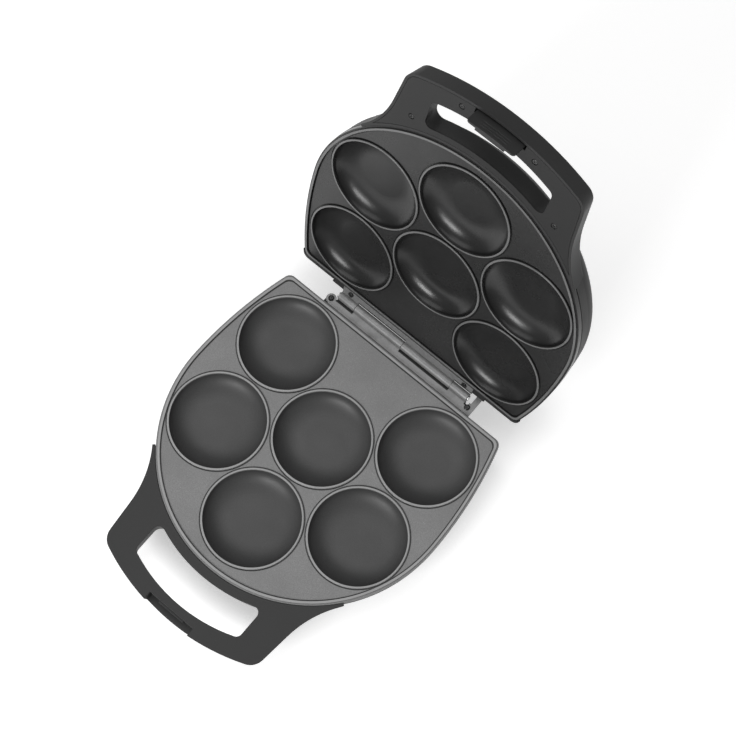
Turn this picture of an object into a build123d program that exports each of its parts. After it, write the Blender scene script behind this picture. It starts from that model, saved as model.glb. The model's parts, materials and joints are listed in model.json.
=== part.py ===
from build123d import *
import math
import os

# An arepa maker: two round-dished cooking plates in moulded housings, joined by a barrel hinge.
# Both halves are drawn in a half frame: z = 0 is the plane of the dish lips, and +z runs away
# from the food. The lid is that half lifted onto the base and swung open, the base its mirror.
# X runs along the hinge, Y from the handle to the hinge, and the centre dish is at x = y = 0.

# Dishes
dish_pitch = 92.8
dish_mouth_r = 43.2
dish_depth = 13.2
dish_floor_r = 20.0
lip_outer_r = 45.0
lip_round = 0.5
plate_drop = 1.5
lip_groove_width = 1.1
lip_groove_depth = 0.8
plate_wall = 3.0
dish_wall = 3.0

# Outline of the plates and housings
outline_r = 137.5
outline_centre_y = -12.0
outline_back_y = 98.0
outline_back_half = 121.5
outline_corner_r = 7.0
bead_inset = 1.6
bead_width = 2.0
flange_depth = 6.0
plate_gap = 0.4
seam_gap = 1.0
skirt_depth = 4.0
skirt_wall = 2.0
skirt_gap = 0.6

# Housing shells
shell_wall = 2.5
half_height = 38.0
crown_start_z = 18.0
crown_start_inset = 1.5
crown_inset = 20.0
crown_corner_growth = 0.45

# Handles
handle_face_z = 1.0
base_handle_depth = 21.0
lid_handle_depth = 18.0
handle_taper = 8.3
handle_edge_round = 2.0
handle_reach = 56.8
handle_front_r = 210.0
handle_corner_half = 86.5
handle_corner_r = 15.0
handle_waist_half = 90.2
handle_waist_lead = 0.5
handle_root_half = 110.0
handle_root_back = 50.0
handle_bridge = 9.2
slot_half = 58.8
base_grip_depth = 17.0
lid_grip_depth = 18.7
slot_draft = 6.0
slot_front_r = 155.0
slot_corner_r = 5.5
cover_thick = 2.2
cover_gap = 0.3
handle_boss_r = 3.2
handle_screw_r = 1.25
handle_head_r = 2.5
handle_head_height = 1.4
handle_screw_length = 9.0
handle_screw_front_x = 35.2
handle_screw_front_inset = 13.1
handle_screw_side_x = 71.0
handle_screw_side_back = 2.5
rib_span = (40.0, 47.0)
rib_reach = 3.5
rib_start_z = 8.0

# Latch, its catch and spring
latch_width = 46.0
latch_wall = 2.6
latch_front_inset = 4.3
latch_reach = 13.0
latch_hook = 2.1
latch_hook_height = 3.4
latch_side_gap = 1.5
latch_pivot_inset = 7.9
latch_pivot_z = 8.5
latch_barrel_r = 3.0
latch_pin_r = 1.2
latch_corner_r = 3.0
latch_groove = 0.5
latch_pocket = 0.9
latch_lug_wall = 3.0
latch_lug_gap = 0.4
latch_lug_half = 3.6
notch_back_inset = 9.5
notch_depth = 14.0
catch_half = 14.0
catch_reach = 2.0
catch_z = 5.0
catch_height = 3.0
spring_half = 4.0
spring_wire = 0.7
spring_gap = 0.15

# Hinge
hinge_y = 111.0
hinge_drop = 1.0
barrel_r = 4.0
pin_r = 2.0
pin_head_r = 2.7
pin_head_length = 1.0
running_gap = 0.05
fixed_gap = 0.02
leaf_thick = 1.8
leaf_front_y = 98.8
leaf_notch_y = 104.8
leaf_half = 84.5
lid_leaf_half = 74.0
knuckle_edges = (-74.0, -55.0, -1.0, 55.0, 74.0)
knuckle_gap = 0.4
ear_x = 78.5
ear_y = 104.2
ear_r = 4.8
lid_ear_x = 65.0
lid_ear_y = 102.0
hinge_screw_r = 1.6
hinge_head_r = 2.7
hinge_head_height = 1.5
hinge_screw_length = 9.0
base_ledge_half = 83.0
lid_ledge_half = 87.0
ledge_depth = 10.0
ledge_back_y = 106.5
ledge_under_barrel_y = 109.0
back_lip_reach = 3.6
back_lip_end_z = 12.0
back_lip_taper = 16.0
back_lip_start_y = 93.0
stop_arm_width = 5.4
stop_arm_end_y = 120.5
stop_tip_length = 3.2
stop_gap = 0.05
lid_open_angle = 109.2
lid_gap = 1.0

# Heaters and what holds them
heater_r = 3.2
heater_ring_r = 88.0
heater_end_x = 18.0
heater_end_y = 88.0
heater_turn_y = 62.0
heater_lead_bend_r = 11.0
heater_ring_bend_r = 25.0
heater_pin_r = 1.2
heater_pin_length = 3.5
heater_seat_gap = 0.05
clamp_width = 9.0
clamp_play = 0.15
clamp_wall = 1.2
clamp_foot = 8.6
clamp_angles = (30.0, 150.0, 210.0, 330.0)
clamp_pad = 3.6
clamp_pad_r = 4.0
clamp_screw_r = 1.5
clamp_head_r = 2.7
clamp_head_height = 1.6
clamp_screw_length = 4.0
boss_r = 5.0
boss_end_z = 26.0
reflector_wall = 0.8
reflector_inset = 9.0
reflector_rim = 5.0
reflector_edge_r = 4.0
plate_screw_points = ((28.0, 78.0), (-28.0, 78.0), (26.8, -46.4), (-26.8, -46.4))
plate_screw_r = 2.0
plate_head_r = 3.6
plate_head_height = 2.2
plate_thread_depth = 9.0
pillar_r = 6.0
pillar_land = 5.0
screw_clearance = 0.3
thread_gap = 0.02

# Control parts
thermostat_r = 8.0
thermostat_height = 7.0
thermostat_y = 66.0
thermostat_boss = 4.0
thermostat_tab = (3.0, 0.8, 6.0)
fuse_r = 2.2
fuse_length = 13.0
fuse_y = 83.5
fuse_strap_width = 5.0
fuse_strap_foot = 5.0
terminal_size = (34.0, 12.0, 8.0)
terminal_y = 62.0
terminal_bore_r = 1.6
gland_x = -98.0
gland_r = 6.5
gland_bore_r = 3.4
gland_flange_r = 8.0
gland_flange_thick = 2.5
gland_depth = 8.0
gland_z = 20.0
gland_seat_inset = 0.5
lens_r = 3.2
lens_half = 9.0
lens_back = 49.5
lens_proud = 0.6
lamp_r = 2.6
lamp_length = 7.5
lamp_holder_wall = 1.4
panel_inset = 32.0
panel_corner_r = 14.0
panel_thick = 2.2
panel_edge_round = 1.2
panel_stud_r = 2.0
panel_stud_length = 5.0
panel_stud_points = ((70.0, 40.0), (-70.0, 40.0), (60.0, -70.0), (-60.0, -70.0))

# Stand
leg_height = 10.0
leg_start_z = 28.0
leg_r = 13.5
leg_taper = 8.0
foot_r = 9.0
foot_height = 5.0
foot_recess = 1.5
foot_half = 86.0
foot_back_y = 81.0
foot_front_y = -76.0
vent_length = 26.0
vent_width = 3.0
vent_pitch = 8.0
vent_count = 5
vent_y = 10.0

# Worked out from the sizes above
base_crest_z = half_height + leg_height
hinge_z = base_crest_z - hinge_drop
lid_crest_z = base_crest_z + lid_gap
hinge_axis = Axis((0, hinge_y, hinge_z), (1, 0, 0))
shell_start_z = flange_depth + seam_gap
shell_floor_z = half_height - shell_wall
plate_back_z = plate_drop + plate_wall
dish_back_z = dish_depth + dish_wall
base_handle_end_z = handle_face_z + base_handle_depth
lid_handle_end_z = handle_face_z + lid_handle_depth
outline_front_y = outline_centre_y - outline_r
handle_front_y = outline_front_y - handle_reach
handle_waist_y = outline_front_y - handle_waist_lead
handle_root_y = outline_front_y + handle_root_back
latch_front_y = handle_front_y + latch_front_inset
latch_pivot_y = handle_front_y + latch_pivot_inset
notch_back_y = handle_front_y + notch_back_inset
lens_y = outline_front_y + lens_back
skirt_inset = shell_wall + skirt_gap
handle_wall_grow = plate_gap + shell_wall
heater_z = dish_back_z + heater_r + heater_seat_gap
clamp_pad_z = dish_back_z + clamp_pad
clamp_screw_offset = heater_r + clamp_wall + clamp_pad_r
pillar_end_z = boss_end_z + reflector_wall
head_seat_z = pillar_end_z + pillar_land
notch_half = latch_width / 2 + latch_side_gap
latch_back_y = latch_front_y + latch_wall
outer_dish_angles = (30, 150, 210, 270, 330)
dish_centres = [(0.0, 0.0)] + [
    (dish_pitch * math.cos(math.radians(a)), dish_pitch * math.sin(math.radians(a)))
    for a in outer_dish_angles
]
handle_screw_points = [
    (side * x, y)
    for x, y in (
        (handle_screw_front_x, handle_front_y + handle_screw_front_inset),
        (handle_screw_side_x, outline_front_y + handle_screw_side_back),
    )
    for side in (-1, 1)
]


def block(x_low, x_high, y_low, y_high, z_low, z_high):
    centre = Pos((x_low + x_high) / 2, (y_low + y_high) / 2, (z_low + z_high) / 2)
    return centre * Box(x_high - x_low, y_high - y_low, z_high - z_low)


def slab(z_low, z_high):
    """Layer wide enough to take in the whole plan."""
    return Pos(0, 0, (z_low + z_high) / 2) * Box(4 * outline_r, 4 * outline_r, z_high - z_low)


def rod(x, y, z_low, z_high, radius):
    return Pos(x, y, (z_low + z_high) / 2) * Cylinder(radius, z_high - z_low)


def rod_x(x_low, x_high, y, z, radius):
    return Pos((x_low + x_high) / 2, y, z) * Rot(0, 90, 0) * Cylinder(radius, x_high - x_low)


def raised(face, z_low, z_high, taper=0.0):
    return Pos(0, 0, z_low) * extrude(face, amount=z_high - z_low, taper=taper)


def group(solids):
    return Compound(list(solids))


def pan_screw(shank_r, head_r, head_height, length):
    """Screw with its head on +z, seated on z = 0, and its shank below."""
    head = rod(0, 0, 0, head_height, head_r)
    head = fillet(head.edges().sort_by(Axis.Z)[-1], head_height * 0.45)
    return head + rod(0, 0, -length, 0, shank_r)


def outline(inset=0.0, corner_r=outline_corner_r):
    """Plan of the plates: a round front, gently bowed sides and a straight back."""
    radius = outline_r - inset
    rise = outline_back_y - outline_centre_y
    shrink = outline_r - outline_back_half
    side_r = (rise**2 + shrink**2) / (2 * shrink)
    side_centre_x = outline_r - side_r
    back_y = outline_back_y - inset
    mid_y = (outline_centre_y + back_y) / 2
    back_x = side_centre_x + math.sqrt((side_r - inset) ** 2 - (back_y - outline_centre_y) ** 2)
    mid_x = side_centre_x + math.sqrt((side_r - inset) ** 2 - (mid_y - outline_centre_y) ** 2)
    left_end = (-radius, outline_centre_y)
    right_end = (radius, outline_centre_y)
    front = ThreePointArc(left_end, (0, outline_centre_y - radius), right_end)
    right = ThreePointArc(right_end, (mid_x, mid_y), (back_x, back_y))
    back = Line((back_x, back_y), (-back_x, back_y))
    left = ThreePointArc((-back_x, back_y), (-mid_x, mid_y), left_end)
    face = make_face([front, right, back, left])
    return fillet(face.vertices().sort_by(Axis.Y)[-2:], corner_r)


def handle_outline(inset):
    """Plan of a handle, closed across the housing."""
    front_r = handle_front_r - inset
    front_y = handle_front_y + inset
    front_centre_y = handle_front_y + handle_front_r
    corner_x = handle_corner_half - inset
    corner_y = front_centre_y - math.sqrt(front_r**2 - corner_x**2)
    waist = (handle_waist_half - inset, handle_waist_y)
    root = (handle_root_half - inset, handle_root_y)
    slope = Vector(waist[0] - corner_x, waist[1] - corner_y, 0).normalized()
    front = ThreePointArc((-corner_x, corner_y), (0, front_y), (corner_x, corner_y))
    side = Line((corner_x, corner_y), waist)
    flank = TangentArc(waist, root, tangent=slope)
    across = Line(root, (0, 0))
    right = [side, flank, across]
    left = [mirror(edge, about=Plane.YZ) for edge in right]
    face = make_face([front] + right + left)
    return fillet(face.vertices().sort_by(Axis.Y)[:2], handle_corner_r - inset)


def handle_end(is_lid):
    return lid_handle_end_z if is_lid else base_handle_end_z


def slot_front(is_lid):
    return handle_front_y + (lid_grip_depth if is_lid else base_grip_depth)


def slot_outline(is_lid, grow=0.0):
    """Plan of the finger slot between the grip and the bridge to the housing."""
    half = slot_half + grow
    inner_r = outline_r + handle_bridge - grow
    outer_r = slot_front_r + grow
    outer_y = slot_front(is_lid) - grow
    inner_end_y = outline_centre_y - math.sqrt(inner_r**2 - half**2)
    outer_end_y = outer_y + outer_r - math.sqrt(outer_r**2 - half**2)
    inner = ThreePointArc((-half, inner_end_y), (0, outline_centre_y - inner_r), (half, inner_end_y))
    right = Line((half, inner_end_y), (half, outer_end_y))
    outer = ThreePointArc((half, outer_end_y), (0, outer_y), (-half, outer_end_y))
    left = Line((-half, outer_end_y), (-half, inner_end_y))
    face = make_face([inner, right, outer, left])
    return fillet(face.vertices(), slot_corner_r + grow)


def slot_form(is_lid, grow=0.0):
    """Body of the slot, drafted so that it opens away from the handle's face."""
    low = handle_face_z - 2
    return raised(slot_outline(is_lid, grow), low, handle_end(is_lid) + 2, -slot_draft)


def dish_cavity():
    """One dish as the cutter that opens it, floor up to just past the mouth."""
    wall = EllipticalCenterArc((dish_floor_r, 0), dish_mouth_r - dish_floor_r, dish_depth, 0, arc_size=90)
    rest = Polyline(
        (dish_floor_r, dish_depth),
        (0, dish_depth),
        (0, -lip_round),
        (dish_mouth_r, -lip_round),
        (dish_mouth_r, 0),
    )
    return revolve(Plane.XZ * make_face([wall, rest]), Axis.Z)


def dish_cup():
    """One dish from outside, with the raised lip round its mouth."""
    wall = EllipticalCenterArc(
        (dish_floor_r, plate_drop), lip_outer_r - dish_floor_r, dish_back_z - plate_drop, 0, arc_size=90
    )
    rest = Polyline(
        (dish_floor_r, dish_back_z),
        (0, dish_back_z),
        (0, 0),
        (lip_outer_r - lip_round, 0),
        (lip_outer_r, lip_round),
        (lip_outer_r, plate_drop),
    )
    return revolve(Plane.XZ * make_face([wall, rest]), Axis.Z)


def frame_ring(inset_out, inset_in, z_low, z_high):
    return raised(outline(inset_out), z_low, z_high) - raised(outline(inset_in), z_low, z_high)


def clamp_place(angle):
    """A clamp's place on the heater ring: local X runs outwards, Y along the tube."""
    return Rot(0, 0, angle) * Pos(heater_ring_r, 0, 0)


def cooking_plate():
    """Cast plate: dished sheet with a rim bead, a flange and a skirt that seats in the housing."""
    plate = raised(outline(), plate_drop, plate_back_z)
    bead_end = bead_inset + bead_width
    plate += frame_ring(bead_inset, bead_end, 0, plate_back_z)
    plate += frame_ring(0, skirt_inset + skirt_wall, plate_drop, flange_depth)
    plate += frame_ring(skirt_inset, skirt_inset + skirt_wall, plate_drop, flange_depth + skirt_depth)
    groove_z = plate_drop + lip_groove_depth
    plate -= frame_ring(bead_end, bead_end + lip_groove_width, plate_drop - 1, groove_z)
    groove = rod(0, 0, plate_drop - 1, groove_z, lip_outer_r + lip_groove_width)
    for x, y in dish_centres:
        plate -= (Pos(x, y, 0) * groove) & raised(outline(bead_end), 0, groove_z)
    cup = dish_cup()
    cavity = dish_cavity()
    for x, y in dish_centres:
        plate += Pos(x, y, 0) * cup
    for x, y in plate_screw_points:
        plate += rod(x, y, plate_drop + 1, boss_end_z, boss_r)
    plate += rod(0, thermostat_y, plate_drop + 1, plate_back_z + thermostat_boss, thermostat_r)
    for angle in clamp_angles:
        for side in (-1, 1):
            pad = rod(side * clamp_screw_offset, 0, dish_depth + 1, clamp_pad_z, clamp_pad_r)
            plate += clamp_place(angle) * pad
    for x, y in dish_centres:
        plate -= Pos(x, y, 0) * cavity
    for x, y in plate_screw_points:
        plate -= rod(x, y, boss_end_z - plate_thread_depth, boss_end_z + 1, plate_screw_r + thread_gap)
    for angle in clamp_angles:
        for side in (-1, 1):
            hole = rod(side * clamp_screw_offset, 0, dish_back_z, clamp_pad_z + 1, clamp_screw_r + thread_gap)
            plate -= clamp_place(angle) * hole
    return plate


def heater():
    """Bent tubular element: two straight ends at the back and a ring under the outer dishes."""
    turn_x = heater_end_x + heater_lead_bend_r
    turn_y = heater_turn_y + heater_lead_bend_r
    bend_y = heater_turn_y - heater_ring_bend_r
    bend_x = math.sqrt((heater_ring_r - heater_ring_bend_r) ** 2 - bend_y**2)
    join_angle = math.degrees(math.atan2(bend_y, bend_x))
    lead = Line((heater_end_x, heater_end_y), (heater_end_x, turn_y))
    first_bend = CenterArc((turn_x, turn_y), heater_lead_bend_r, 180, 90)
    run = Line((turn_x, heater_turn_y), (bend_x, heater_turn_y))
    second_bend = CenterArc((bend_x, bend_y), heater_ring_bend_r, 90, join_angle - 90)
    ring = CenterArc((0, 0), heater_ring_r, join_angle, -180 - 2 * join_angle)
    right = [lead, first_bend, run, second_bend]
    left = [mirror(edge, about=Plane.YZ) for edge in right]
    path = Wire([edge for piece in right + [ring] + left for edge in piece.edges()])
    section = Plane(origin=(heater_end_x, heater_end_y, 0), z_dir=(0, -1, 0)) * Circle(heater_r)
    tube = sweep(section, path=path)
    for side in (-1, 1):
        pin = Rot(90, 0, 0) * Cylinder(heater_pin_r, 2 * heater_pin_length)
        tube += Pos(side * heater_end_x, heater_end_y, 0) * pin
    return Pos(0, 0, heater_z) * tube


def strap(inner_r, foot, width, seat_z, centre_z):
    """Saddle strap: an arch over a tube that lies along local Y, with a foot each side."""
    outer_r = inner_r + clamp_wall
    arch = Pos(0, 0, centre_z) * Rot(90, 0, 0) * Cylinder(outer_r, width)
    legs = block(-outer_r, outer_r, -width / 2, width / 2, seat_z, max(centre_z, seat_z + clamp_wall))
    feet = block(-outer_r - foot, outer_r + foot, -width / 2, width / 2, seat_z, seat_z + clamp_wall)
    bore = Pos(0, 0, centre_z) * Rot(90, 0, 0) * Cylinder(inner_r, width + 2)
    whole = arch + legs + feet - bore
    whole -= block(-inner_r, inner_r, -width, width, seat_z - outer_r, centre_z)
    return whole - block(-4 * outer_r, 4 * outer_r, -width, width, seat_z - 2 * outer_r, seat_z)


def heater_clamps():
    clamp = strap(heater_r + clamp_play, clamp_foot, clamp_width, clamp_pad_z, heater_z)
    for side in (-1, 1):
        x = side * clamp_screw_offset
        clamp -= rod(x, 0, clamp_pad_z - 1, clamp_pad_z + clamp_wall + 1, clamp_screw_r + screw_clearance)
    return group(clamp_place(angle) * clamp for angle in clamp_angles)


def clamp_screws():
    screw = pan_screw(clamp_screw_r, clamp_head_r, clamp_head_height, clamp_screw_length)
    top = clamp_pad_z + clamp_wall
    return group(
        clamp_place(angle) * Pos(side * clamp_screw_offset, 0, top) * screw
        for angle in clamp_angles
        for side in (-1, 1)
    )


def reflector():
    """Pressed tray that throws the heat back at the plate, held between bosses and pillars."""
    floor = raised(outline(reflector_inset, reflector_edge_r), boss_end_z, pillar_end_z)
    rim = raised(outline(reflector_inset, reflector_edge_r), boss_end_z - reflector_rim, boss_end_z)
    rim -= raised(
        outline(reflector_inset + reflector_wall, reflector_edge_r), boss_end_z - reflector_rim, boss_end_z
    )
    tray = floor + rim
    for x, y in plate_screw_points:
        tray -= rod(x, y, boss_end_z - 1, pillar_end_z + 1, plate_screw_r + screw_clearance)
    return tray


def plate_screws():
    length = head_seat_z - boss_end_z + plate_thread_depth - 1
    screw = pan_screw(plate_screw_r, plate_head_r, plate_head_height, length)
    return group(Pos(x, y, head_seat_z) * screw for x, y in plate_screw_points)


def housing_section(z, depth, grow):
    return Pos(0, 0, z) * outline(depth + grow, outline_corner_r + crown_corner_growth * grow)


def housing_form(inset, end_z):
    """Straight drafted wall, then a quarter round crown up to the flat top."""
    rise = end_z - crown_start_z
    start = housing_section(crown_start_z, inset, crown_start_inset)
    crown = [start]
    for angle in (30, 60, 90):
        turn = math.radians(angle)
        grow = crown_start_inset + (crown_inset - crown_start_inset) * (1 - math.cos(turn))
        crown.append(housing_section(crown_start_z + rise * math.sin(turn), inset, grow))
    wall = loft([housing_section(shell_start_z, inset, 0), start], ruled=True)
    return wall + loft(crown)


def handle_form(is_lid, inset, z_low, z_high, round_edge=0.0):
    """The tapered body of a handle, cut to a band of heights."""
    body = raised(handle_outline(inset), handle_face_z, handle_end(is_lid), handle_taper)
    if round_edge:
        rim = body.faces().sort_by(Axis.Z)[-1].edges().filter_by(lambda e: e.center().Y < handle_root_y)
        body = fillet(rim, round_edge)
    return body & slab(z_low, z_high)


def handle_cavity(is_lid, z_low, z_high, walled_slot=True):
    """Hollow of a handle between its skirt, the slot wall and the wall beside the plate."""
    hollow = handle_form(is_lid, shell_wall, z_low, z_high)
    hollow -= raised(outline(-handle_wall_grow), z_low - 1, z_high + 1)
    if walled_slot:
        hollow -= slot_form(is_lid, shell_wall)
    return hollow


def handle_screw_bosses(z_low, z_high, radius):
    return [rod(x, y, z_low, z_high, radius) for x, y in handle_screw_points]


def housing(is_lid):
    """One moulded half. The handle's cover is on its face in the lid, on its far side in the base."""
    end_z = handle_end(is_lid)
    ledge_half = lid_ledge_half if is_lid else base_ledge_half
    body = housing_form(0, half_height)
    body += handle_form(is_lid, 0, handle_face_z, end_z, handle_edge_round)
    ledge_front_y = outline_back_y - shell_wall - 1
    low, high = ledge_start(is_lid), ledge_start(is_lid) + ledge_depth
    body += block(-ledge_half, ledge_half, ledge_front_y, ledge_back_y, low, high)
    body += block(-lid_leaf_half, lid_leaf_half, ledge_front_y, ledge_under_barrel_y, low, high)
    body -= housing_form(shell_wall, shell_floor_z)
    body -= raised(outline(-plate_gap), -5, shell_start_z)
    cover_room = cover_thick + fixed_gap
    if is_lid:
        skin_low = handle_face_z + cover_room
        skin_high = end_z - shell_wall
        body -= handle_cavity(is_lid, handle_face_z - 1, skin_low, walled_slot=False)
        bosses = (skin_low, skin_high + 0.5)
        drills = (skin_low - 1, skin_low + handle_screw_length)
    else:
        skin_low = handle_face_z + shell_wall
        skin_high = end_z - cover_room
        body -= handle_cavity(is_lid, skin_high, end_z + 1, walled_slot=False)
        bosses = (skin_low - 0.5, skin_high)
        drills = (skin_high - handle_screw_length, skin_high + 1)
    body -= handle_cavity(is_lid, skin_low, skin_high)
    body -= slot_form(is_lid)
    for boss in handle_screw_bosses(*bosses, handle_boss_r):
        body += boss
    for hole in handle_screw_bosses(*drills, handle_screw_r + thread_gap):
        body -= hole
    for x, y in plate_screw_points:
        body += rod(x, y, pillar_end_z, half_height - 1, pillar_r)
    for x, y in plate_screw_points:
        body -= rod(x, y, pillar_end_z - 1, half_height + 1, plate_screw_r + screw_clearance)
        body -= rod(x, y, head_seat_z, half_height + 1, plate_head_r + screw_clearance)
    return body


def ledge_start(is_lid):
    """Height in the half frame where the hinge leaf lies on the housing."""
    if is_lid:
        return hinge_z + barrel_r - lid_crest_z
    return base_crest_z - hinge_z + barrel_r


def base_housing():
    body = housing(is_lid=False)
    liner = block(
        -notch_half - shell_wall,
        notch_half + shell_wall,
        handle_front_y - 5,
        notch_back_y + shell_wall,
        handle_face_z,
        notch_depth + shell_wall,
    )
    body += liner & handle_form(False, 0, handle_face_z, base_handle_end_z)
    body -= block(-notch_half, notch_half, handle_front_y - 5, notch_back_y, -1, notch_depth)
    catch_front_y = notch_back_y - catch_reach
    body += block(-catch_half, catch_half, catch_front_y, notch_back_y, catch_z, catch_z + catch_height)
    body -= hinge_screw_bores(is_lid=False)
    foot_z = half_height + leg_height - foot_height
    for x, y in foot_points():
        body += raised(Pos(x, y, 0) * Circle(leg_r), leg_start_z, foot_z + foot_recess, leg_taper)
        body -= rod(x, y, foot_z, foot_z + 2 * foot_height, foot_r + fixed_gap)
    for column in (-1, 1):
        for row in range(vent_count):
            y = vent_y + (row - (vent_count - 1) / 2) * vent_pitch
            vent = extrude(SlotOverall(vent_length, vent_width), 2 * shell_wall, both=True)
            body -= Pos(column * vent_length, y, half_height) * vent
    gland_hole = Pos(gland_x, outline_back_y, gland_z) * Rot(90, 0, 0) * Cylinder(gland_r + fixed_gap, 20)
    return body - gland_hole


def back_lip():
    """Lip of the lid's housing outside the back corners of its plate."""
    lip = raised(Pos(0, back_lip_reach, 0) * outline(), handle_face_z, back_lip_end_z, back_lip_taper)
    lip -= raised(outline(-plate_gap), handle_face_z - 1, shell_start_z)
    lip -= raised(outline(shell_wall), shell_start_z - 1, back_lip_end_z + 1)
    beside = block(lid_ledge_half, outline_r, back_lip_start_y, ledge_back_y, 0, back_lip_end_z)
    return lip & (beside + mirror(beside, about=Plane.YZ))


def slot_rib():
    """Rib across the grip's wall in the lid's finger slot."""
    x_low, x_high = rib_span
    front_y = slot_front(True) - shell_wall
    drop = slot_front_r - math.sqrt(slot_front_r**2 - x_high**2)
    back_y = slot_front(True) + drop + rib_reach
    return block(x_low, x_high, front_y, back_y, rib_start_z, lid_handle_end_z - 1)


def lid_housing():
    body = housing(is_lid=True)
    body += back_lip()
    body += slot_rib()
    lug_start = latch_width / 2 + latch_lug_gap
    lug_end = lug_start + latch_lug_wall
    for side in (-1, 1):
        low, high = sorted((side * lug_start, side * lug_end))
        front_y = latch_pivot_y - latch_lug_half
        back_y = latch_pivot_y + latch_lug_half
        high_z = lid_handle_end_z - shell_wall + 0.5
        body += block(low, high, front_y, back_y, latch_pivot_z - latch_lug_half, high_z)
    body -= rod_x(-lug_end + 0.6, lug_end - 0.6, latch_pivot_y, latch_pivot_z, latch_pin_r + fixed_gap)
    body -= hinge_screw_bores(is_lid=True)
    lamp_z = shell_floor_z - lamp_length
    for side in (-1, 1):
        x = side * lens_half
        body += rod(x, lens_y, lamp_z, shell_floor_z + 0.5, lamp_r + lamp_holder_wall)
        body -= rod(x, lens_y, lamp_z - 1, half_height + 1, lamp_r + running_gap)
    for x, y in panel_stud_points:
        body -= rod(x, y, shell_floor_z - 1, half_height + 1, panel_stud_r + fixed_gap)
    return body


def handle_cover(is_lid):
    """Plate that closes the hollow of a handle, round the finger slot."""
    if is_lid:
        z_low, z_high = handle_face_z, handle_face_z + cover_thick
        head_low, head_high = z_low - 1, z_low + handle_head_height + fixed_gap
    else:
        z_low, z_high = base_handle_end_z - cover_thick, base_handle_end_z
        head_low, head_high = z_high - handle_head_height - fixed_gap, z_high + 1
    cover = handle_form(is_lid, shell_wall + cover_gap, z_low, z_high)
    cover -= raised(outline(-handle_wall_grow - cover_gap), z_low - 1, z_high + 1)
    cover -= slot_form(is_lid)
    for x, y in handle_screw_points:
        cover -= rod(x, y, z_low - 1, z_high + 1, handle_screw_r + screw_clearance)
        cover -= rod(x, y, head_low, head_high, handle_head_r + screw_clearance)
    if is_lid:
        cover -= block(-notch_half, notch_half, handle_front_y - 5, notch_back_y, z_low - 1, z_high + 1)
    return cover


def handle_screws(is_lid):
    screw = pan_screw(handle_screw_r, handle_head_r, handle_head_height, handle_screw_length - 1)
    if is_lid:
        turn = Pos(0, 0, handle_face_z + handle_head_height + fixed_gap) * Rot(180, 0, 0)
    else:
        turn = Pos(0, 0, base_handle_end_z - handle_head_height - fixed_gap)
    return group(Pos(x, y, 0) * turn * screw for x, y in handle_screw_points)


def latch():
    """Swinging latch under the lid's grip: a barrel, a plate and a hook that takes the base's catch."""
    half = latch_width / 2
    plate = block(-half, half, latch_front_y, latch_back_y, -latch_reach, latch_pivot_z)
    corners = plate.edges().filter_by(Axis.Y).sort_by(Axis.Z)[:2]
    plate = fillet(corners, latch_corner_r)
    plate &= raised(handle_outline(latch_front_y - handle_front_y), -latch_reach - 1, latch_pivot_z + 1)
    body = plate + rod_x(-half, half, latch_pivot_y, latch_pivot_z, latch_barrel_r)
    hook_top = latch_hook_height - latch_reach
    hook_back_y = latch_back_y + latch_hook
    body += block(-catch_half, catch_half, latch_back_y - 0.5, hook_back_y, -latch_reach, hook_top)
    pocket_low = hook_top + 1.2
    body -= block(-half + 4, half - 4, latch_back_y - latch_pocket, latch_back_y + 1, pocket_low, -1.0)
    for row in range(3):
        z = -latch_reach + 2.5 + row * 2.6
        body -= block(-half + 8, half - 8, latch_front_y - 1, latch_front_y + latch_groove, z, z + 1.2)
    gap = spring_half + spring_gap
    body -= block(-gap, gap, latch_front_y - 2, latch_pivot_y + 5, latch_pivot_z - 3.4, latch_pivot_z + 5)
    return body - rod_x(-half - 1, half + 1, latch_pivot_y, latch_pivot_z, latch_pin_r + running_gap)


def latch_pin():
    half = latch_width / 2 + latch_lug_gap + latch_lug_wall - 0.8
    return rod_x(-half, half, latch_pivot_y, latch_pivot_z, latch_pin_r)


def latch_spring():
    """Torsion spring on the latch pin, with a leg to the grip and one behind the latch."""
    inner_r = latch_pin_r + spring_gap
    outer_r = inner_r + spring_wire
    coil = rod_x(-spring_half, spring_half, latch_pivot_y, latch_pivot_z, outer_r)
    x = spring_half - spring_wire
    y = latch_pivot_y + inner_r
    coil += block(x, spring_half, y, y + spring_wire, latch_pivot_z, lid_handle_end_z - shell_wall)
    y = latch_back_y + running_gap
    coil += block(-spring_half, -x, y, y + spring_wire, handle_face_z, latch_pivot_z)
    return coil - rod_x(-spring_half - 1, spring_half + 1, latch_pivot_y, latch_pivot_z, inner_r)


def hinge_screw_points(is_lid):
    x, y = (lid_ear_x, lid_ear_y) if is_lid else (ear_x, ear_y)
    return ((-x, y), (x, y))


def hinge_screw_bores(is_lid):
    low = ledge_start(is_lid)
    radius = hinge_screw_r + thread_gap
    return [rod(x, y, low - 1, low + hinge_screw_length, radius) for x, y in hinge_screw_points(is_lid)]


def knuckle_spans(first):
    """X ranges of every second knuckle, each short of its neighbour by half the gap."""
    spans = []
    for index in range(first, len(knuckle_edges) - 1, 2):
        spans.append((knuckle_edges[index] + knuckle_gap / 2, knuckle_edges[index + 1] - knuckle_gap / 2))
    return spans


def hinge_leaf(flat_z, first, bore_gap, half_width):
    """Rolled sheet leaf: a flat strip with knuckles curled round the pin."""
    leaf = block(-half_width, half_width, leaf_front_y, leaf_notch_y, flat_z, flat_z + leaf_thick)
    for x_low, x_high in knuckle_spans(first):
        leaf += block(x_low, x_high, leaf_front_y, hinge_y, flat_z, flat_z + leaf_thick)
        leaf += rod_x(x_low, x_high, hinge_y, hinge_z, barrel_r)
        leaf -= rod_x(x_low - 0.01, x_high + 0.01, hinge_y, hinge_z, pin_r + bore_gap)
    return leaf


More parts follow.
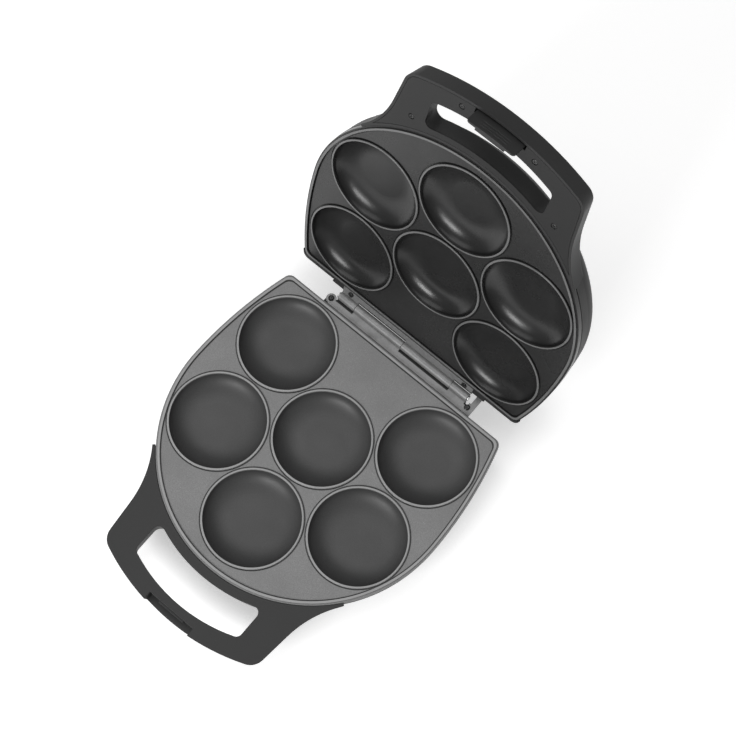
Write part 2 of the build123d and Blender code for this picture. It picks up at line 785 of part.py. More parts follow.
def base_hinge_leaf():
    """Leaf on the base, with an ear each end and the arm that stops the open lid."""
    flat_z = hinge_z - barrel_r
    leaf = hinge_leaf(flat_z, 1, fixed_gap, ear_x)
    leaf += rod(-ear_x, ear_y, flat_z, flat_z + leaf_thick, ear_r)
    leaf += block(ear_x - 1, leaf_half, leaf_front_y, ear_y + ear_r, flat_z, flat_z + leaf_thick)
    arm_x = leaf_half - stop_arm_width
    leaf += block(arm_x, leaf_half, leaf_front_y, stop_arm_end_y, flat_z, flat_z + leaf_thick)
    tip_y = stop_arm_end_y - stop_tip_length
    leaf += block(arm_x, leaf_half, tip_y, stop_arm_end_y, flat_z, hinge_z + barrel_r)
    back_y = hinge_y + 2 * barrel_r
    for x_low, x_high in knuckle_spans(0):
        leaf -= block(x_low - knuckle_gap, x_high + knuckle_gap, leaf_notch_y, back_y, flat_z - 1, hinge_z)
    ledge_end_z = lid_crest_z + ledge_start(True) + ledge_depth
    back_y = ledge_back_y + stop_gap
    leaf -= opened(block(-lid_ledge_half, lid_ledge_half, leaf_front_y, back_y, hinge_z, ledge_end_z))
    for x, y in hinge_screw_points(is_lid=False):
        leaf -= rod(x, y, flat_z - 1, flat_z + leaf_thick + 1, hinge_screw_r + screw_clearance)
    return leaf


def lid_hinge_leaf():
    flat_z = hinge_z + barrel_r - leaf_thick
    leaf = hinge_leaf(flat_z, 0, running_gap, lid_leaf_half)
    for x, y in hinge_screw_points(is_lid=True):
        leaf -= rod(x, y, flat_z - 1, flat_z + leaf_thick + 1, hinge_screw_r + screw_clearance)
    return leaf


def hinge_pin():
    low = knuckle_edges[0]
    high = knuckle_edges[-1]
    pin = rod_x(low, high, hinge_y, hinge_z, pin_r)
    pin += rod_x(low - pin_head_length, low, hinge_y, hinge_z, pin_head_r)
    return pin + rod_x(high, high + pin_head_length, hinge_y, hinge_z, pin_head_r)


def hinge_screws(is_lid):
    screw = pan_screw(hinge_screw_r, hinge_head_r, hinge_head_height, hinge_screw_length - 1)
    if is_lid:
        turn = Pos(0, 0, hinge_z + barrel_r - leaf_thick) * Rot(180, 0, 0)
    else:
        turn = Pos(0, 0, hinge_z - barrel_r + leaf_thick)
    return group(Pos(x, y, 0) * turn * screw for x, y in hinge_screw_points(is_lid))


def thermostat():
    """Bimetal disc thermostat: a can on the plate's boss with two blade terminals."""
    seat = plate_back_z + thermostat_boss
    can = rod(0, thermostat_y, seat, seat + thermostat_height, thermostat_r)
    can = fillet(can.edges().sort_by(Axis.Z)[-1], 1.0)
    width, thick, height = thermostat_tab
    tab = Box(width, thick, height)
    for side in (-1, 1):
        can += Pos(side * thermostat_r / 2, thermostat_y, seat + thermostat_height) * tab
    return can


def thermal_fuse():
    centre_z = plate_back_z + fuse_r + heater_seat_gap
    body = rod_x(-fuse_length / 2, fuse_length / 2, fuse_y, centre_z, fuse_r)
    return body + rod_x(-fuse_length / 2 - 4, fuse_length / 2 + 4, fuse_y, centre_z, 0.5)


def fuse_strap():
    centre_z = plate_back_z + fuse_r + heater_seat_gap
    clip = strap(fuse_r + heater_seat_gap, fuse_strap_foot, fuse_strap_width, plate_back_z, centre_z)
    return Pos(0, fuse_y, 0) * Rot(0, 0, 90) * clip


def terminal_block():
    """Ceramic block on the housing floor, with a row of wire bores."""
    length, width, height = terminal_size
    body = Box(length, width, height)
    bore = Rot(90, 0, 0) * Cylinder(terminal_bore_r, width + 2)
    for step in (-1, 0, 1):
        body -= Pos(step * length / 3, 0, 0) * bore
    return Pos(0, terminal_y, shell_floor_z - height / 2) * body


def cord_gland():
    """Bush in the back wall for the mains lead."""
    seat_y = outline_back_y - gland_seat_inset
    flange = Pos(gland_x, seat_y + gland_flange_thick / 2, gland_z) * Rot(90, 0, 0)
    flange *= Cylinder(gland_flange_r, gland_flange_thick)
    stem = Pos(gland_x, seat_y - gland_depth / 2, gland_z) * Rot(90, 0, 0) * Cylinder(gland_r, gland_depth)
    bore = Pos(gland_x, seat_y, gland_z) * Rot(90, 0, 0) * Cylinder(gland_bore_r, 4 * gland_depth)
    return flange + stem - bore


def foot_points():
    return [(side * foot_half, y) for y in (foot_back_y, foot_front_y) for side in (-1, 1)]


def feet():
    end = half_height + leg_height
    foot = rod(0, 0, end - foot_height, end, foot_r)
    foot = fillet(foot.edges().sort_by(Axis.Z)[-1], 1.0)
    return group(Pos(x, y, 0) * foot for x, y in foot_points())


def top_panel():
    """Raised trim panel on the lid, snapped over the plate screws."""
    face = outline(panel_inset, panel_corner_r)
    panel = raised(face, half_height, half_height + panel_thick)
    panel = fillet(panel.faces().sort_by(Axis.Z)[-1].edges(), panel_edge_round)
    for x, y in panel_stud_points:
        panel += rod(x, y, half_height - panel_stud_length, half_height + 0.5, panel_stud_r)
    hole_end_z = half_height + 2 * panel_thick
    for side in (-1, 1):
        panel -= rod(side * lens_half, lens_y, half_height - 1, hole_end_z, lens_r + fixed_gap)
    return panel


def lens(side):
    top = half_height + panel_thick + lens_proud
    body = rod(side * lens_half, lens_y, half_height, top, lens_r)
    return fillet(body.edges().sort_by(Axis.Z)[-1], lens_proud * 0.8)


def indicator_lamps():
    lamp = rod(0, 0, shell_floor_z - lamp_length, shell_floor_z, lamp_r)
    return group(Pos(side * lens_half, lens_y, 0) * lamp for side in (-1, 1))


def opened(shape):
    """Swings a piece of the closed lid back to where the open lid rests."""
    return shape.rotate(hinge_axis, -lid_open_angle)


def on_base(shape):
    return Pos(0, 0, base_crest_z) * mirror(shape, about=Plane.XY)


def on_lid(shape):
    return opened(Pos(0, 0, lid_crest_z) * shape)


plate = cooking_plate()
element = heater()
clamps = heater_clamps()
clamp_fixings = clamp_screws()
tray = reflector()
plate_fixings = plate_screws()

parts = {
    "base_housing": on_base(base_housing()),
    "base_handle_cover": on_base(handle_cover(is_lid=False)),
    "base_handle_screws": on_base(handle_screws(is_lid=False)),
    "base_plate": on_base(plate),
    "base_heater": on_base(element),
    "base_heater_clamps": on_base(clamps),
    "base_clamp_screws": on_base(clamp_fixings),
    "base_reflector": on_base(tray),
    "base_plate_screws": on_base(plate_fixings),
    "thermostat": on_base(thermostat()),
    "thermal_fuse": on_base(thermal_fuse()),
    "fuse_strap": on_base(fuse_strap()),
    "terminal_block": on_base(terminal_block()),
    "cord_gland": on_base(cord_gland()),
    "feet": on_base(feet()),
    "base_hinge_leaf": base_hinge_leaf(),
    "base_hinge_screws": hinge_screws(is_lid=False),
    "hinge_pin": hinge_pin(),
    "lid_housing": on_lid(lid_housing()),
    "lid_handle_cover": on_lid(handle_cover(is_lid=True)),
    "lid_handle_screws": on_lid(handle_screws(is_lid=True)),
    "lid_plate": on_lid(plate),
    "lid_heater": on_lid(element),
    "lid_heater_clamps": on_lid(clamps),
    "lid_clamp_screws": on_lid(clamp_fixings),
    "lid_reflector": on_lid(tray),
    "lid_plate_screws": on_lid(plate_fixings),
    "lid_top_panel": on_lid(top_panel()),
    "power_lens": on_lid(lens(-1)),
    "ready_lens": on_lid(lens(1)),
    "indicator_lamps": on_lid(indicator_lamps()),
    "lid_hinge_leaf": opened(lid_hinge_leaf()),
    "lid_hinge_screws": opened(hinge_screws(is_lid=True)),
    "latch": on_lid(latch()),
    "latch_pin": on_lid(latch_pin()),
    "latch_spring": on_lid(latch_spring()),
}

# The origin is the middle of the whole object's footprint, on the surface that it stands on.
whole = group(parts.values()).bounding_box()
shift_y = -(whole.min.Y + whole.max.Y) / 2

os.makedirs("parts", exist_ok=True)
for name, shape in parts.items():
    export_step(Pos(0, shift_y, 0) * shape, f"parts/{name}.step")
print("box", whole.min, whole.max, "shift", round(shift_y, 3))
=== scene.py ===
"""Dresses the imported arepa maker: materials, studio floor, light and camera."""

import json
import math

import bmesh
import bpy
from mathutils import Matrix, Vector

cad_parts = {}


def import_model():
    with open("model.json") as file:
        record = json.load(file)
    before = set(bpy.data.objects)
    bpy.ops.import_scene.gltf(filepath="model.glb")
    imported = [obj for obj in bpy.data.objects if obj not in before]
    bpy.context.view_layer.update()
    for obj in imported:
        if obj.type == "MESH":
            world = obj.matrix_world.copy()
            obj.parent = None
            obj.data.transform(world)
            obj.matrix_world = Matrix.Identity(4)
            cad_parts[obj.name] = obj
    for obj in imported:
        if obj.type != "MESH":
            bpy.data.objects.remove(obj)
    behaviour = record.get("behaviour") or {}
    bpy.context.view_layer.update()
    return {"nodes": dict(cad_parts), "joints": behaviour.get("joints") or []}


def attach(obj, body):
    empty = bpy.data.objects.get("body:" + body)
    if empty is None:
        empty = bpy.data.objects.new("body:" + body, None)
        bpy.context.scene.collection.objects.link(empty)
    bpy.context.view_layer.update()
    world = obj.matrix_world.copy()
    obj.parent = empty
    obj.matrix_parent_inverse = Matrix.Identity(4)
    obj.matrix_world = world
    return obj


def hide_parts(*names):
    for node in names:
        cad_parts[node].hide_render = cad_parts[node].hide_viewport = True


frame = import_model()

MM = 0.001

# Places in the frame, worked out from the lid's packed joint.
LID_JOINT = next(joint for joint in frame["joints"] if joint["name"] == "lid_hinge")
HINGE = Vector(LID_JOINT["pos_m"])
OPEN_ANGLE = math.radians(LID_JOINT["range_deg"][1])
BASE_CREST_ABOVE_HINGE = 1.0 * MM
LID_CREST_ABOVE_HINGE = 2.0 * MM
CENTRE_TO_HINGE = 111.0 * MM
BASE_CREST = HINGE.z + BASE_CREST_ABOVE_HINGE
LID_CREST = HINGE.z + LID_CREST_ABOVE_HINGE
CENTRE_Y = HINGE.y - CENTRE_TO_HINGE
BASE_CENTRE = Vector((0.0, CENTRE_Y, BASE_CREST))

# The photograph's camera, worked out from the dishes' places.
CAMERA_PLACE = Vector((291.8, -283.0, 1586.2)) * MM + BASE_CENTRE
CAMERA_TARGET = Vector((-10.79, 74.99, 0.0)) * MM + BASE_CENTRE
CAMERA_LENS = 91.56
SENSOR = 36.0

# Depths below the dish lips between which the coating changes: wear with a painted highlight on the lip
# crests, painted shade in the lip grooves and down the dish walls.
WORN_LIT_LIP = (0.1 * MM, 0.5 * MM)
LIP_GROOVE = (1.6 * MM, 2.0 * MM)
DISH_WALL = (2.4 * MM, 8.0 * MM)

# Screws: head radius, head height, shank radius and shank length.
HINGE_SCREW = (2.7 * MM, 1.5 * MM, 1.6 * MM, 8.0 * MM)
HANDLE_SCREW = (2.5 * MM, 1.4 * MM, 1.25 * MM, 8.0 * MM)

# Shares of the head's radius or height that shape a screw's head and its recess.
HEAD_ROUNDING = 0.45
RECESS_REACH = 0.54
RECESS_HALF_WIDTH = 0.15
RECESS_DEPTH = 0.6
RECESS_FLOOR = 0.75
RING_STEPS = 32

# Turn of the first recess, turn from one to the next, and the sharpest smooth edge.
FIRST_SPIN = 0.35
SPIN_STEP = 1.1
SMOOTH_LIMIT = 0.6

# Half width of the floor, glow of the paper in the camera's eye and light of the sky.
FLOOR_HALF = 6.0
PAPER_GLOW = 0.45
SKY_LIGHT = 0.36


def srgb(value):
    """Linear value of a display grey between 0 and 255."""
    share = value / 255
    return share / 12.92 if share <= 0.04045 else ((share + 0.055) / 1.055) ** 2.4


def grey(value, warm=0.0):
    level = srgb(value)
    return (level * (1 + warm), level, level * (1 - warm), 1.0)


class Nodes:
    """Short ways to build one material's node tree."""

    def __init__(self, name):
        self.material = bpy.data.materials.new(name)
        self.material.use_nodes = True
        self.tree = self.material.node_tree
        self.tree.nodes.clear()
        self.output = self.new("ShaderNodeOutputMaterial")
        self.shader = self.new("ShaderNodeBsdfPrincipled")
        self.link(self.shader.outputs[0], self.output.inputs["Surface"])
        self.coords = self.new("ShaderNodeTexCoord").outputs["Object"]

    def new(self, kind):
        return self.tree.nodes.new(kind)

    def link(self, source, target):
        self.tree.links.new(source, target)

    def put(self, socket, value):
        if isinstance(value, bpy.types.NodeSocket):
            self.link(value, socket)
        else:
            socket.default_value = value

    def mapped(self, move=(0.0, 0.0, 0.0), turn=0.0, scale=(1.0, 1.0, 1.0)):
        """Object coordinates scaled, turned about X and then moved."""
        node = self.new("ShaderNodeMapping")
        self.link(self.coords, node.inputs["Vector"])
        node.inputs["Scale"].default_value = scale
        node.inputs["Rotation"].default_value = (turn, 0.0, 0.0)
        node.inputs["Location"].default_value = move
        return node.outputs["Vector"]

    def noise(self, scale, detail=2.0, roughness=0.5, source=None):
        node = self.new("ShaderNodeTexNoise")
        self.link(source or self.coords, node.inputs["Vector"])
        node.inputs["Scale"].default_value = scale
        node.inputs["Detail"].default_value = detail
        node.inputs["Roughness"].default_value = roughness
        return node.outputs["Fac"]

    def cells(self, scale):
        node = self.new("ShaderNodeTexVoronoi")
        self.link(self.coords, node.inputs["Vector"])
        node.inputs["Scale"].default_value = scale
        return node.outputs["Distance"]

    def span(self, source, low, high, out_low=0.0, out_high=1.0, smooth=False):
        node = self.new("ShaderNodeMapRange")
        node.interpolation_type = "SMOOTHSTEP" if smooth else "LINEAR"
        node.clamp = True
        self.link(source, node.inputs["Value"])
        node.inputs["From Min"].default_value = low
        node.inputs["From Max"].default_value = high
        node.inputs["To Min"].default_value = out_low
        node.inputs["To Max"].default_value = out_high
        return node.outputs["Result"]

    def maths(self, operation, a, b=0.0):
        node = self.new("ShaderNodeMath")
        node.operation = operation
        self.put(node.inputs[0], a)
        self.put(node.inputs[1], b)
        return node.outputs["Value"]

    def parts(self, vector):
        node = self.new("ShaderNodeSeparateXYZ")
        self.link(vector, node.inputs[0])
        return node.outputs

    def blend(self, share, low, high):
        node = self.new("ShaderNodeMix")
        node.data_type = "RGBA"
        self.put(node.inputs["Factor"], share)
        self.put(node.inputs["A"], low)
        self.put(node.inputs["B"], high)
        return node.outputs["Result"]

    def rounded(self, radius):
        """Normals with the hard edges softened over a small radius."""
        node = self.new("ShaderNodeBevel")
        node.samples = 6
        node.inputs["Radius"].default_value = radius
        return node.outputs["Normal"]

    def bump(self, height, distance, strength=1.0, normal=None):
        node = self.new("ShaderNodeBump")
        node.inputs["Strength"].default_value = strength
        node.inputs["Distance"].default_value = distance
        self.link(height, node.inputs["Height"])
        if normal is not None:
            self.link(normal, node.inputs["Normal"])
        return node.outputs["Normal"]

    def set(self, **sockets):
        for name, value in sockets.items():
            self.put(self.shader.inputs[name.replace("_", " ")], value)


def half_frame(nodes, is_lid):
    """Coordinates of a half: z is 0 in the plane of the dish lips and grows into the dishes."""
    if is_lid:
        turn = Matrix.Rotation(OPEN_ANGLE, 3, "X")
        move = HINGE - turn @ HINGE - Vector((0, CENTRE_Y, LID_CREST))
        return nodes.mapped(move, OPEN_ANGLE)
    return nodes.mapped((0, -CENTRE_Y, BASE_CREST), scale=(1, 1, -1))


def coating(name, is_lid, face, crest_wear_highlight, groove_shade, dish_shade, roughness):
    """Speckled non-stick coat: lighter on the lips with wear and a painted highlight, with painted shade in
    the grooves and dishes.
    """
    nodes = Nodes(name)
    depth = nodes.parts(half_frame(nodes, is_lid))[2]
    grain = nodes.noise(1500.0, 3.0, 0.6)
    cloud = nodes.noise(28.0, 3.0, 0.55)
    flecks = nodes.span(nodes.cells(900.0), 0.12, 0.28, 1.0, 0.0)
    sparse = nodes.span(nodes.noise(420.0, 1.0), 0.55, 0.62)
    fleck = nodes.maths("MULTIPLY", flecks, sparse)
    shade = nodes.blend(nodes.span(grain, 0.3, 0.7), grey(face - 14), grey(face + 14))
    shade = nodes.blend(nodes.span(cloud, 0.35, 0.65, 0.0, 0.35), shade, grey(face - 8))
    shade = nodes.blend(nodes.maths("MULTIPLY", fleck, 0.5), shade, grey(face + 50))
    # Painted shade: the lip groove is darkened in colour.
    in_groove = nodes.span(depth, *LIP_GROOVE, smooth=True)
    shade = nodes.blend(in_groove, shade, grey(groove_shade))
    # Painted shade: the dish walls and floors are darkened in colour with depth.
    into_dish = nodes.span(depth, *DISH_WALL, smooth=True)
    dish = nodes.blend(nodes.span(grain, 0.3, 0.7), grey(dish_shade - 5), grey(dish_shade + 5))
    shade = nodes.blend(into_dish, shade, dish)
    # The lip crests are lightened in colour: partly wear, partly a painted highlight.
    on_crest = nodes.span(depth, *WORN_LIT_LIP, 1.0, 0.0)
    wear_and_highlight = nodes.maths("MULTIPLY", on_crest, nodes.span(cloud, 0.2, 0.6, 0.5, 0.9))
    shade = nodes.blend(wear_and_highlight, shade, grey(crest_wear_highlight))
    rough = nodes.span(cloud, 0.3, 0.7, roughness - 0.05, roughness + 0.06)
    height = nodes.maths("ADD", grain, nodes.maths("MULTIPLY", fleck, 0.8))
    normal = nodes.bump(height, 0.03 * MM, 0.5, nodes.rounded(0.3 * MM))
    nodes.set(Base_Color=shade, Roughness=rough, Metallic=0.0, Normal=normal)
    nodes.set(Specular_IOR_Level=0.4)
    return nodes.material


def moulded(name, value, roughness, grain_size=1300.0):
    """Moulded plastic with a spark-eroded grain, faint handling marks and softened edges."""
    nodes = Nodes(name)
    grain = nodes.noise(grain_size, 2.0, 0.5)
    cloud = nodes.noise(22.0, 3.0, 0.5)
    shade = nodes.blend(nodes.span(cloud, 0.3, 0.7), grey(value - 3), grey(value + 3))
    shade = nodes.blend(nodes.span(grain, 0.55, 0.75, 0.0, 0.25), shade, grey(value + 14))
    rough = nodes.span(cloud, 0.3, 0.7, roughness - 0.04, roughness + 0.05)
    normal = nodes.bump(grain, 0.025 * MM, 0.5, nodes.rounded(0.5 * MM))
    nodes.set(Base_Color=shade, Roughness=rough, Normal=normal)
    nodes.set(Specular_IOR_Level=0.35)
    return nodes.material


def metal(name, value, roughness, metallic=1.0, brush=(1, 1, 1), edge=0.2, spots=0.0):
    """Sheet or turned metal with fine brush lines and dull patches."""
    nodes = Nodes(name)
    lines = nodes.noise(900.0, 3.0, 0.6, nodes.mapped(scale=brush))
    cloud = nodes.noise(60.0, 3.0, 0.6)
    shade = nodes.blend(nodes.span(lines, 0.3, 0.7), grey(value - 14), grey(value + 14))
    shade = nodes.blend(nodes.span(cloud, 0.5, 0.75, 0.0, spots), shade, grey(value * 0.5))
    rough = nodes.span(nodes.maths("ADD", lines, cloud), 0.6, 1.4, roughness - 0.08, roughness + 0.1)
    normal = nodes.bump(lines, 0.01 * MM, 0.5, nodes.rounded(edge * MM))
    nodes.set(Base_Color=shade, Roughness=rough, Metallic=metallic, Normal=normal)
    return nodes.material


def rubber(name):
    nodes = Nodes(name)
    grain = nodes.noise(900.0, 3.0, 0.6)
    dust = nodes.noise(70.0, 3.0, 0.6)
    shade = nodes.blend(nodes.span(dust, 0.45, 0.75), grey(34), grey(52))
    normal = nodes.bump(grain, 0.04 * MM, 0.5, nodes.rounded(0.5 * MM))
    nodes.set(Base_Color=shade, Roughness=nodes.span(dust, 0.3, 0.7, 0.7, 0.86), Normal=normal)
    return nodes.material


def ceramic(name):
    nodes = Nodes(name)
    cloud = nodes.noise(90.0, 4.0, 0.6)
    shade = nodes.blend(nodes.span(cloud, 0.3, 0.7), grey(205, 0.02), grey(224, 0.03))
    normal = nodes.bump(nodes.noise(600.0), 0.02 * MM, 0.5, nodes.rounded(0.3 * MM))
    nodes.set(Base_Color=shade, Roughness=nodes.span(cloud, 0.3, 0.7, 0.35, 0.5), Normal=normal)
    return nodes.material


def tinted(name, low, high, roughness=0.12):
    """Coloured clear moulding with a prismatic inside."""
    nodes = Nodes(name)
    cells = nodes.cells(1400.0)
    shade = nodes.blend(nodes.span(cells, 0.1, 0.6), low, high)
    rough = nodes.span(nodes.noise(400.0), 0.3, 0.7, roughness, roughness + 0.08)
    normal = nodes.bump(cells, 0.05 * MM, 0.4, nodes.rounded(0.25 * MM))
    nodes.set(Base_Color=shade, Roughness=rough, Normal=normal)
    nodes.set(Transmission_Weight=0.35, IOR=1.49)
    return nodes.material


def dress(material, *names):
    """Gives CAD nodes their one material."""
    for name in names:
        node = frame["nodes"][name]
        node.data.materials.clear()
        node.data.materials.append(material)


def dress_all():
    # Crest values are wear with a painted highlight; groove and hollow values are painted shade.
    base_coat = coating(
        "base_coating", is_lid=False, face=120, crest_wear_highlight=158, groove_shade=62, dish_shade=62, roughness=0.45
    )
    lid_coat = coating("lid_coating", is_lid=True, face=38, crest_wear_highlight=118, groove_shade=20, dish_shade=32, roughness=0.28)
    dress(base_coat, "base_plate")
    dress(lid_coat, "lid_plate")
    dress(moulded("base_plastic", 46, 0.55), "base_housing")
    dress(moulded("lid_plastic", 44, 0.55), "lid_housing")
    dress(moulded("cover_plastic", 33, 0.52), "lid_handle_cover", "base_handle_cover")
    dress(moulded("latch_plastic", 46, 0.45), "latch")
    dress(moulded("panel_plastic", 60, 0.35, 1800.0), "lid_top_panel")
    leaf = metal("hinge_coating", 128, 0.45, metallic=0.3, brush=(6, 0.3, 0.3), edge=0.25, spots=0.3)
    dress(leaf, "base_hinge_leaf", "lid_hinge_leaf")
    zinc = metal("zinc_plate", 168, 0.35, edge=0.15, spots=0.2)
    dress(zinc, "hinge_pin", "latch_pin", "latch_spring")
    screws = metal("dark_screw", 70, 0.4, metallic=0.8, spots=0.3)
    dress(screws, "base_hinge_screws", "lid_hinge_screws", "lid_handle_screws", "base_handle_screws")
    dress(screws, "base_plate_screws", "lid_plate_screws", "base_clamp_screws", "lid_clamp_screws")
    sheath = metal("heater_sheath", 96, 0.5, metallic=0.9, edge=0.3, spots=0.6)
    dress(sheath, "base_heater", "lid_heater")
    clip = metal("clip_steel", 165, 0.38, brush=(1, 0.1, 1), spots=0.2)
    dress(clip, "base_heater_clamps", "lid_heater_clamps", "fuse_strap", "thermostat")
    reflector = metal("reflector_sheet", 205, 0.3, brush=(0.05, 1, 1), spots=0.15)
    dress(reflector, "base_reflector", "lid_reflector")
    dress(metal("fuse_can", 190, 0.3, brush=(0.05, 1, 1), edge=0.1, spots=0.1), "thermal_fuse")
    dress(ceramic("terminal_ceramic"), "terminal_block")
    dress(rubber("black_rubber"), "cord_gland", "feet")
    dress(tinted("red_lens", (0.35, 0.01, 0.008, 1), (0.6, 0.03, 0.02, 1)), "power_lens")
    dress(tinted("green_lens", (0.01, 0.2, 0.03, 1), (0.04, 0.45, 0.07, 1)), "ready_lens")
    dress(tinted("lamp_glass", grey(200), grey(235), 0.06), "indicator_lamps")


def screw_places(name, axis):
    """Middle of the highest point along the axis of each loose patch of a CAD node's mesh.

    A screw's mesh has several such patches, so it gets several places, down to its tip.
    """
    builder = bmesh.new()
    builder.from_mesh(frame["nodes"][name].data)
    builder.verts.ensure_lookup_table()
    side = axis.orthogonal().normalized()
    across = axis.cross(side)
    seen = set()
    places = []
    for start in builder.verts:
        if start.index in seen:
            continue
        island = [start]
        seen.add(start.index)
        for vertex in island:
            for edge in vertex.link_edges:
                other = edge.other_vert(vertex)
                if other.index not in seen:
                    seen.add(other.index)
                    island.append(other)
        place = Vector()
        for direction in (side, across):
            reach = [vertex.co.dot(direction) for vertex in island]
            place += direction * (min(reach) + max(reach)) / 2
        places.append(place + axis * max(vertex.co.dot(axis) for vertex in island))
    builder.free()
    return places


def cross_head_screw(builder, place, axis, spin, head_r, height, shank_r, length):
    """Pan head screw with a cross recess, built down from the middle of its head's top."""
    side = axis.orthogonal().normalized()
    across = axis.cross(side)
    round_r = height * HEAD_ROUNDING

    def at(x, y, z):
        return builder.verts.new(place + side * x + across * y + axis * z)

    def ring(radius, z):
        turns = [2 * math.pi * step / RING_STEPS for step in range(RING_STEPS)]
        return [at(radius * math.cos(turn), radius * math.sin(turn), z) for turn in turns]

    def wall(upper, lower):
        count = len(upper)
        for index in range(count):
            after = (index + 1) % count
            builder.faces.new((upper[index], lower[index], lower[after], upper[after]))

    def cross(scale, z):
        long = head_r * RECESS_REACH * scale
        short = head_r * RECESS_HALF_WIDTH * scale
        corners = []
        for quarter in range(4):
            turn = spin + quarter * math.pi / 2
            for x, y in ((long, -short), (long, short), (short, short)):
                turned_x = x * math.cos(turn) - y * math.sin(turn)
                turned_y = x * math.sin(turn) + y * math.cos(turn)
                corners.append(at(turned_x, turned_y, z))
        return corners

    rings = [ring(head_r - round_r, 0.0)]
    for angle in (30, 60, 90):
        turn = math.radians(angle)
        rings.append(ring(head_r - round_r + round_r * math.sin(turn), -round_r * (1 - math.cos(turn))))
    rings += [ring(head_r, -height), ring(shank_r, -height), ring(shank_r, -height - length)]
    for upper, lower in zip(rings, rings[1:]):
        wall(upper, lower)
    builder.faces.new(rings[-1])
    mouth = cross(1.0, 0.0)
    floor_loop = cross(RECESS_FLOOR, -height * RECESS_DEPTH)
    wall(mouth, floor_loop)
    builder.faces.new(floor_loop)
    rim = []
    for loop in (rings[0], mouth):
        for index, vertex in enumerate(loop):
            after = loop[(index + 1) % len(loop)]
            rim.append(builder.edges.get((vertex, after)) or builder.edges.new((vertex, after)))
    bmesh.ops.triangle_fill(builder, edges=rim, use_beauty=True, normal=axis)


def cross_head_screws(name, body, axis, sizes, material):
    """Stands for a CAD node of screws: one drawn screw, turned its own way, at each place."""
    builder = bmesh.new()
    for index, place in enumerate(sorted(screw_places(name, axis), key=tuple)):
        cross_head_screw(builder, place, axis, FIRST_SPIN + SPIN_STEP * index, *sizes)
    bmesh.ops.recalc_face_normals(builder, faces=builder.faces)
    for face in builder.faces:
        face.smooth = True
    for edge in builder.edges:
        edge.smooth = edge.calc_face_angle(0.0) < SMOOTH_LIMIT
    mesh = bpy.data.meshes.new(f"{name}_heads")
    builder.to_mesh(mesh)
    builder.free()
    screws = bpy.data.objects.new(f"{name}_heads", mesh)
    bpy.context.scene.collection.objects.link(screws)
    mesh.materials.append(material)
    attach(screws, body)
    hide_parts(name)


def all_cross_head_screws():
    up = Vector((0.0, 0.0, 1.0))
    facing = Matrix.Rotation(-OPEN_ANGLE, 3, "X") @ Vector((0.0, 0.0, -1.0))
    dark = metal("hinge_screw", 84, 0.38, metallic=0.8, edge=0.1, spots=0.3)
    cross_head_screws("base_hinge_screws", "base", up, HINGE_SCREW, dark)
    cross_head_screws("lid_hinge_screws", "lid", facing, HINGE_SCREW, dark)
    cross_head_screws("lid_handle_screws", "lid", facing, HANDLE_SCREW, dark)
    cross_head_screws("base_handle_screws", "base", -up, HANDLE_SCREW, dark)


def floor_material():
    """White paper that the camera sees as white, with the object's soft shadow kept."""
    nodes = Nodes("studio_paper")
    fibre = nodes.noise(220.0, 3.0, 0.6)
    shade = nodes.blend(fibre, grey(238), grey(242))
    nodes.set(Base_Color=shade, Roughness=nodes.span(fibre, 0.3, 0.7, 0.86, 0.94))
    nodes.set(Specular_IOR_Level=0.0)
    path = nodes.new("ShaderNodeLightPath").outputs
    seen = nodes.maths("MAXIMUM", path["Is Camera Ray"], path["Is Glossy Ray"])
    seen = nodes.maths("MAXIMUM", seen, path["Is Transmission Ray"])
    glow = nodes.maths("MULTIPLY", seen, PAPER_GLOW)
    nodes.set(Emission_Color=(1, 1, 1, 1), Emission_Strength=glow)
    return nodes.material


def floor():
    mesh = bpy.data.meshes.new("floor")
    builder = bmesh.new()
    bmesh.ops.create_grid(builder, x_segments=8, y_segments=8, size=FLOOR_HALF)
    builder.to_mesh(mesh)
    builder.free()
    paper = bpy.data.objects.new("floor", mesh)
    bpy.context.scene.collection.objects.link(paper)
    mesh.materials.append(floor_material())


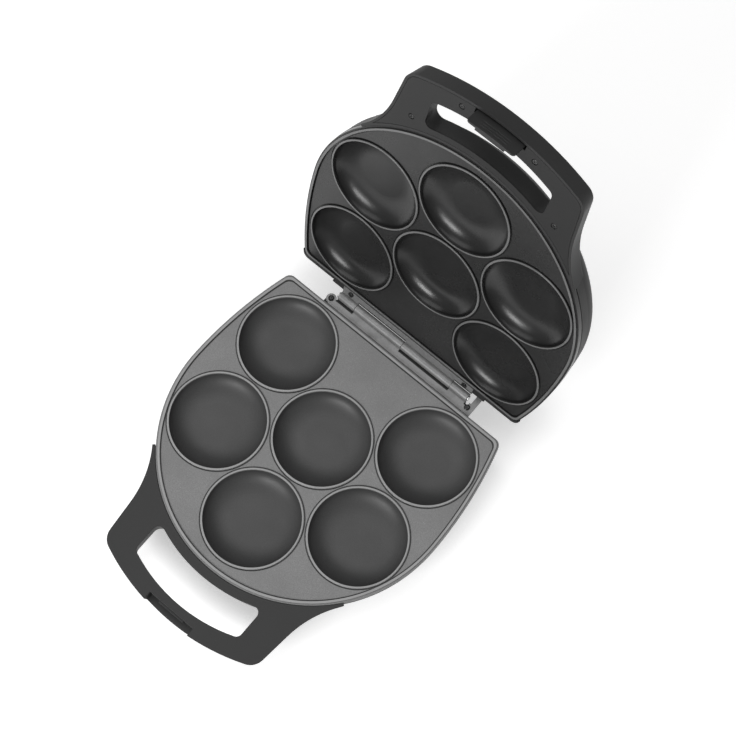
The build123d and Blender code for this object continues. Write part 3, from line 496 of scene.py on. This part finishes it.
def world():
    """Even white surroundings: dimmer as a light than as a background."""
    sky = bpy.data.worlds.new("studio")
    sky.use_nodes = True
    tree = sky.node_tree
    tree.nodes.clear()
    output = tree.nodes.new("ShaderNodeOutputWorld")
    path = tree.nodes.new("ShaderNodeLightPath").outputs
    light = tree.nodes.new("ShaderNodeBackground")
    light.inputs["Strength"].default_value = SKY_LIGHT
    seen = tree.nodes.new("ShaderNodeBackground")
    seen.inputs["Strength"].default_value = 1.0
    direct = tree.nodes.new("ShaderNodeMath")
    direct.operation = "MAXIMUM"
    tree.links.new(path["Is Camera Ray"], direct.inputs[0])
    tree.links.new(path["Is Transmission Ray"], direct.inputs[1])
    mix = tree.nodes.new("ShaderNodeMixShader")
    tree.links.new(direct.outputs[0], mix.inputs[0])
    tree.links.new(light.outputs[0], mix.inputs[1])
    tree.links.new(seen.outputs[0], mix.inputs[2])
    tree.links.new(mix.outputs[0], output.inputs["Surface"])
    bpy.context.scene.world = sky


def softbox(name, place, size, power, target=(0.0, 0.0, 0.05)):
    lamp = bpy.data.lights.new(name, "AREA")
    lamp.shape = "RECTANGLE"
    lamp.size, lamp.size_y = size
    lamp.energy = power
    box = bpy.data.objects.new(name, lamp)
    box.location = place
    box.rotation_mode = "QUATERNION"
    box.rotation_quaternion = (Vector(target) - Vector(place)).to_track_quat("-Z", "Y")
    bpy.context.scene.collection.objects.link(box)


def lights():
    softbox("key", place=(-0.9, 0.0, 2.1), size=(1.7, 1.7), power=14.0)
    softbox("top", place=(0.1, 0.6, 2.4), size=(1.6, 1.2), power=9.0)
    softbox("front", place=(0.05, -1.75, 1.2), size=(1.0, 0.5), power=26.0)


def camera():
    data = bpy.data.cameras.new("camera")
    data.lens = CAMERA_LENS
    data.sensor_width = SENSOR
    data.clip_start = 0.05
    data.clip_end = 60.0
    eye = bpy.data.objects.new("camera", data)
    eye.location = CAMERA_PLACE
    eye.rotation_mode = "QUATERNION"
    eye.rotation_quaternion = (CAMERA_TARGET - CAMERA_PLACE).to_track_quat("-Z", "Y")
    bpy.context.scene.collection.objects.link(eye)
    bpy.context.scene.camera = eye


dress_all()
all_cross_head_screws()
floor()
world()
lights()
camera()
bpy.context.scene.view_settings.view_transform = "Standard"

bpy.context.view_layer.update()
